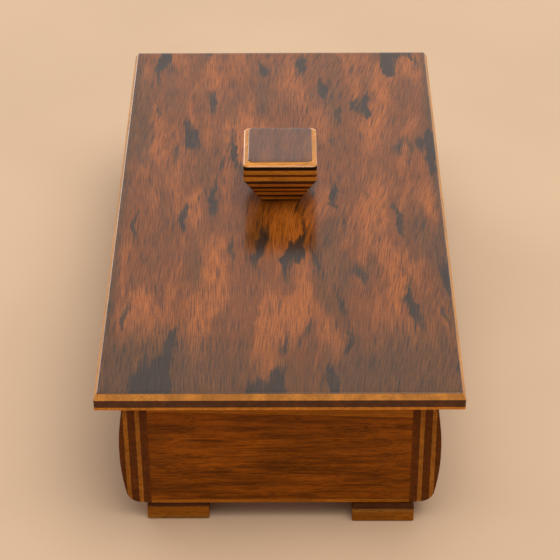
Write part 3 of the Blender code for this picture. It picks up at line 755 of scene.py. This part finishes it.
def eased_copy(node, wood, arris, exposed=None):
    """Copy of a CAD node with its exposed edges sanded."""
    shape = merged_shape(node)
    weights = shape.edges.layers.float.new("bevel_weight_edge")
    for edge in shape.edges:
        sharp = len(edge.link_faces) == 2 and edge.calc_face_angle() > CREASE
        if sharp and (exposed is None or exposed(edge)):
            edge[weights] = 1.0
    bmesh.ops.recalc_face_normals(shape, faces=shape.faces)
    mesh = bpy.data.meshes.new(node + "_sanded")
    shape.to_mesh(mesh)
    shape.free()
    for layer in ("custom_normal", "UVMap"):
        if layer in mesh.attributes:
            mesh.attributes.remove(mesh.attributes[layer])
    mesh.materials.clear()
    mesh.materials.append(wood)
    smooth_shading(mesh)
    piece = link_piece(node + "_sanded", mesh)
    round_edges(piece, arris)
    as_plain_mesh(piece)
    return fit_piece(piece, node)


def spindle_axis():
    """Radius of the spindle and the place of its axis, as (radius, (x, y))."""
    low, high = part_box("spindle")
    return (high.x - low.x) / 2, ((low.x + high.x) / 2, (low.y + high.y) / 2)


def unglued(edge):
    """True where neither face of a wall ply's edge is glued to a neighbouring ply."""
    return all(abs(abs(face.normal.x) - 1.0) > 1e-5 for face in edge.link_faces)


def ready():
    """Build the shared node groups once, then return the scene's settings."""
    make_shared_effects()
    if "sanded_slab" not in bpy.data.node_groups:
        make_sanded_slab()
    return settings()


# ---- Operators --------------------------------------------------------------------------------------------

class PUZZLEBOX_OT_lid(bpy.types.Operator):
    """Make the lid's four plies with their chamfer and figured veneer"""
    bl_idname = "puzzle_box.make_lid"
    bl_label = "Make Lid"

    def execute(self, context):
        sanding, woods, _ = ready()
        box = piece_box("lid_base_ply", "lid_dark_ply", "lid_chamfer_ply", "lid_veneer")
        radius, centre = spindle_axis()
        hole = radius + SPINDLE_CLEARANCE
        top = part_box("lid_veneer")[1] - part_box("lid_veneer")[0]
        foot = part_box("lid_chamfer_ply")[1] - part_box("lid_chamfer_ply")[0]
        cap = top.z * (foot.x - top.x) / foot.z
        drill = {"hole": hole, "hole_centre": centre, "corner": sanding.lid_corner}
        slab("lid_veneer", figured_veneer("lid_figured_veneer", box, True, 1.0, 0.2, 0.0),
             upper=(top.x - cap, top.y - cap), arris=sanding.veneer_arris, sand_top=1.0,
             roll=(sanding.roll_width, sanding.roll_share), **drill)
        slab("lid_chamfer_ply",
             ply_wood("lid_bright_wood", woods.bright, "Y", box, contrast=0.22,
                      mottle=0.45, coat=1.0, wear=0.15),
             upper=(top.x, top.y), **drill)
        slab("lid_dark_ply", ply_wood("lid_dark_wood", woods.dark, "Y", box, contrast=0.4,
                                      mottle=0.5, coat=0.7), **drill)
        slab("lid_base_ply", ply_wood("lid_light_wood", woods.light, "Y", box, mottle=0.3),
             arris=sanding.lid_arris, sand_bottom=1.0, **drill)
        return {"FINISHED"}


class PUZZLEBOX_OT_knob(bpy.types.Operator):
    """Make the square laminated knob"""
    bl_idname = "puzzle_box.make_knob"
    bl_label = "Make Knob"

    def execute(self, context):
        sanding, woods, _ = ready()
        plies = [f"knob_ply_{number:02d}" for number in range(1, 14)]
        kinds = ("dark", "light", "dark", "light", "red", "light", "dark", "light", "dark",
                 "light", "red", "light", "black")
        box = piece_box(*plies, "knob_top_ply", "knob_veneer")
        radius, centre = spindle_axis()
        socket_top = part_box("spindle")[1].z
        lower = (NECK_WIDTH, NECK_WIDTH)
        for node, kind in zip(plies, kinds):
            low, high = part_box(node)
            wood = ply_wood(f"knob_{kind}_wood", getattr(woods, kind), "X", box,
                            contrast=0.25, mottle=0.35, coat=0.3)
            hole = radius + GLUE_LINE if low.z < socket_top else 0.0
            slab(node, wood, lower=lower, corner=sanding.knob_corner, hole=hole,
                 hole_centre=centre)
            lower = (high.x - low.x, high.y - low.y)
        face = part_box("knob_veneer")[1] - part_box("knob_veneer")[0]
        cap = ply_wood("knob_cap_wood", woods.bright, "X", box, contrast=0.22, mottle=0.3,
                       coat=1.0, wear=0.1)
        slab("knob_top_ply", cap, lower=lower, upper=(face.x, face.y),
             corner=sanding.knob_cap_corner)
        rim = face.z / 2
        slab("knob_veneer",
             figured_veneer("knob_figured_veneer", box, False, 0.75, 0.22, 0.3,
                            darken=0.60, seed=31.0),
             upper=(face.x - rim, face.y - rim), corner=sanding.knob_cap_corner,
             arris=sanding.veneer_arris, sand_top=1.0,
             roll=(sanding.roll_width, sanding.roll_share))
        return {"FINISHED"}


class PUZZLEBOX_OT_walls(bpy.types.Operator):
    """Make the laminated side walls with their rounded outer faces"""
    bl_idname = "puzzle_box.make_walls"
    bl_label = "Make Side Walls"

    def execute(self, context):
        sanding, woods, _ = ready()
        kinds = ("dark", "light", "dark", "light", "dark")
        for side in ("left", "right"):
            plies = [f"{side}_wall_ply_{number}" for number in range(1, 6)]
            box = piece_box(*plies)
            for number, (node, kind) in enumerate(zip(plies, kinds), start=1):
                tone = Vector(getattr(woods, kind)) * (0.6 if kind == "light" else 1.3)
                wood = ply_wood(f"{side}_wall_{kind}_wood", tone, "Y", box,
                                fibre=(0.4, 14.0), contrast=0.32, mottle=0.35, coat=0.2)
                eased_copy(node, wood, sanding.wall_arris if number > 1
                           else sanding.panel_arris, unglued)
        return {"FINISHED"}


class PUZZLEBOX_OT_end_panels(bpy.types.Operator):
    """Make the end panels' veneered faces, lippings and cores"""
    bl_idname = "puzzle_box.make_end_panels"
    bl_label = "Make End Panels"

    def execute(self, context):
        sanding, woods, _ = ready()
        for end in ("front", "back"):
            box = piece_box(f"{end}_panel_face", f"{end}_panel_lipping")
            face = ply_wood(f"{end}_panel_veneer", woods.panel, "X", box,
                            fibre=(0.30, 14.0), contrast=0.55, mottle=0.3, coat=0.2,
                            wear=0.0, seed=13.0)
            lipping = ply_wood(f"{end}_lipping_wood", woods.honey, "X", box,
                               fibre=(0.4, 14.0), contrast=0.25, mottle=0.3, coat=0.2,
                               wear=0.0)
            eased_copy(f"{end}_panel_face", face, 0.0)
            eased_copy(f"{end}_panel_lipping", lipping, 0.0)
            core = ply_wood("panel_core_wood", woods.plain, "X",
                            piece_box("front_panel_core", "back_panel_core"),
                            coat=0.1, roughness=0.6, specular=0.3)
            eased_copy(f"{end}_panel_core", core, sanding.panel_arris)
        return {"FINISHED"}


class PUZZLEBOX_OT_base(bpy.types.Operator):
    """Make the base ply and the box's floor"""
    bl_idname = "puzzle_box.make_base"
    bl_label = "Make Base"

    def execute(self, context):
        _, woods, _ = ready()
        base = ply_wood("base_honey_wood", woods.honey, "X", piece_box("base_ply"),
                        contrast=0.25, coat=0.3, wear=0.0)
        eased_copy("base_ply", base, 0.0)
        floor = ply_wood("floor_panel_wood", woods.plain, "Y", piece_box("base_panel"),
                         contrast=0.22, coat=0.1, roughness=0.6, specular=0.3)
        eased_copy("base_panel", floor, 0.0)
        return {"FINISHED"}


class PUZZLEBOX_OT_feet(bpy.types.Operator):
    """Make the four laminated feet"""
    bl_idname = "puzzle_box.make_feet"
    bl_label = "Make Feet"

    def execute(self, context):
        sanding, woods, _ = ready()
        for end in ("front", "back"):
            for side, kinds in (("left", ("dark", "honey", "bright")),
                                ("right", ("dark", "bright", "honey"))):
                nodes = [f"{end}_{side}_foot_ply_{number}" for number in (1, 2, 3)]
                box = piece_box(*nodes)
                for number, (node, kind) in enumerate(zip(nodes, kinds), start=1):
                    low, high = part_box(node)
                    tone = Vector(getattr(woods, kind)) * (0.5 if kind == "bright" else 0.8)
                    wood = ply_wood(f"{end}_{side}_foot_{kind}_wood", tone, "X", box,
                                    contrast=0.25, mottle=0.3, coat=0.25, wear=0.3)
                    shoulder = 2 * sanding.foot_shoulder if number == 1 else 0.0
                    upper = (high.x - low.x - shoulder, high.y - low.y - shoulder)
                    slab(node, wood, upper=upper, corner=sanding.foot_corner,
                         arris=sanding.foot_arris, sand_bottom=float(number == 3))
        return {"FINISHED"}


class PUZZLEBOX_OT_lock(bpy.types.Operator):
    """Make the hidden lock: liner, boss, pegs, pin block, spindle, bar, pin and keepers"""
    bl_idname = "puzzle_box.make_lock"
    bl_label = "Make Lock"

    def execute(self, context):
        sanding, woods, _ = ready()
        bare = {"coat": 0.1, "roughness": 0.6, "specular": 0.3}
        ease = sanding.inner_arris
        radius, centre = spindle_axis()
        hole = radius + SPINDLE_CLEARANCE
        slab("lid_liner", ply_wood("liner_wood", woods.plain, "Y", piece_box("lid_liner"),
                                   contrast=0.2, **bare), corner=LINER_CORNER, arris=ease,
             sand_bottom=1.0, hole=hole, hole_centre=centre)
        for node, axis, tone in (("spindle_boss", "X", woods.plain),
                                 ("pin_block", "Y", woods.plain),
                                 ("lock_bar", "Y", woods.dark),
                                 ("left_keeper", "Y", woods.dark),
                                 ("right_keeper", "Y", woods.dark)):
            wood = ply_wood(node + "_wood", tone, axis, piece_box(node), **bare)
            eased_copy(node, wood, ease)
        for node, axis in (("stop_peg", "Z"), ("spindle", "Z"), ("bar_peg", "X")):
            wood = ply_wood(node + "_wood", woods.light, axis, piece_box(node),
                            wear=0.0, **bare)
            eased_copy(node, wood, ease)
        eased_copy("tilt_pin", brushed_steel("tilt_pin_steel"), PIN_ARRIS)
        return {"FINISHED"}


class PUZZLEBOX_OT_stage(bpy.types.Operator):
    """Make the floor, lights and camera"""
    bl_idname = "puzzle_box.make_stage"
    bl_label = "Make Stage"

    def execute(self, context):
        _, _, stage = ready()
        scene = bpy.context.scene
        scene.view_settings.view_transform = "Standard"
        self.lay_floor(stage)
        self.light_room(scene, stage)
        self.stand_camera(scene, stage)
        return {"FINISHED"}

    def lay_floor(self, stage):
        """Wide pale board just under the feet."""
        material, tree, shader = new_material("pale_floor")
        place = millimetres(tree)
        cloud = noise(tree, place, 0.01, 2.0, 0.5)
        tone = blend(tree, eased(tree, cloud, 0.3, 0.7), shade(stage.floor_colour, 0.97),
                     shade(stage.floor_colour, 1.03))
        tree.links.new(tone, shader.inputs["Base Color"])
        shader.inputs["Roughness"].default_value = 0.7
        shader.inputs["Specular IOR Level"].default_value = 0.2
        shape = bmesh.new()
        bmesh.ops.create_grid(shape, x_segments=2, y_segments=2, size=FLOOR_HALF)
        mesh = bpy.data.meshes.new("floor")
        shape.to_mesh(mesh)
        shape.free()
        mesh.materials.append(material)
        mesh.transform(Matrix.Translation((0.0, 0.0, -FLOOR_DROP)))
        link_piece("floor", mesh)

    def softbox(self, name, place, aim, size, brightness, tint):
        """Rectangular lamp at a place, pointed at an aim."""
        lamp = bpy.data.lights.new(name, "AREA")
        lamp.shape = "RECTANGLE"
        lamp.size, lamp.size_y = size
        lamp.energy = brightness * math.pi * size[0] * size[1]
        lamp.color = tint
        light = bpy.data.objects.new(name, lamp)
        light.location = place
        light.rotation_euler = (Vector(place) - Vector(aim)).to_track_quat("Z", "Y").to_euler()
        bpy.context.scene.collection.objects.link(light)

    def light_room(self, scene, stage):
        """Even pale room, three softboxes behind and a key softbox above."""
        world = bpy.data.worlds.new("pale_room")
        world.use_nodes = True
        background = world.node_tree.nodes["Background"]
        background.inputs["Color"].default_value = (1.0, 0.97, 0.94, 1.0)
        background.inputs["Strength"].default_value = stage.room_light
        scene.world = world
        for name, place, size, tint, setting in SOFTBOXES:
            self.softbox(name, place, LAMP_AIM, size, getattr(stage, setting), tint)

    def stand_camera(self, scene, stage):
        """Camera in front of the box and above it."""
        lens = bpy.data.cameras.new("camera")
        lens.lens = stage.camera_lens
        lens.sensor_width = 36.0
        lens.clip_start = 0.01
        camera = bpy.data.objects.new("camera", lens)
        camera.matrix_world = (Matrix.Translation(stage.camera_place)
                               @ Matrix.Rotation(stage.camera_turn, 4, "Z")
                               @ Matrix.Rotation(math.pi / 2 - stage.camera_pitch, 4, "X")
                               @ Matrix.Rotation(stage.camera_roll, 4, "Z"))
        scene.collection.objects.link(camera)
        scene.camera = camera


OPERATORS = (PUZZLEBOX_OT_walls, PUZZLEBOX_OT_end_panels, PUZZLEBOX_OT_base,
             PUZZLEBOX_OT_feet, PUZZLEBOX_OT_lock, PUZZLEBOX_OT_lid, PUZZLEBOX_OT_knob,
             PUZZLEBOX_OT_stage)


class PUZZLEBOX_PT_sidebar(bpy.types.Panel):
    """Sidebar panel that lists the pieces"""
    bl_idname = "PUZZLEBOX_PT_sidebar"
    bl_label = "Puzzle Box"
    bl_space_type = "VIEW_3D"
    bl_region_type = "UI"
    bl_category = "Puzzle Box"

    def draw(self, context):
        layout = self.layout
        for operator in OPERATORS:
            layout.operator(operator.bl_idname)
        for group in settings():
            box = layout.box()
            for key in group.__annotations__:
                box.prop(group, key)


CLASSES = (PuzzleBoxSanding, PuzzleBoxWoods, PuzzleBoxStage, *OPERATORS,
           PUZZLEBOX_PT_sidebar)
GROUPS = {"puzzle_box_sanding": PuzzleBoxSanding, "puzzle_box_woods": PuzzleBoxWoods,
          "puzzle_box_stage": PuzzleBoxStage}


def register():
    """Register the classes and hang the property groups on the scene."""
    for cls in CLASSES:
        bpy.utils.register_class(cls)
    for key, group in GROUPS.items():
        setattr(bpy.types.Scene, key, bpy.props.PointerProperty(type=group))


def unregister():
    """Undo register."""
    for key in GROUPS:
        delattr(bpy.types.Scene, key)
    for cls in reversed(CLASSES):
        bpy.utils.unregister_class(cls)


def main():
    """Make every piece."""
    register()
    for operator in OPERATORS:
        group, action = operator.bl_idname.split(".")
        getattr(getattr(bpy.ops, group), action)()
    bpy.context.view_layer.update()


if __name__ == "__main__":
    main()
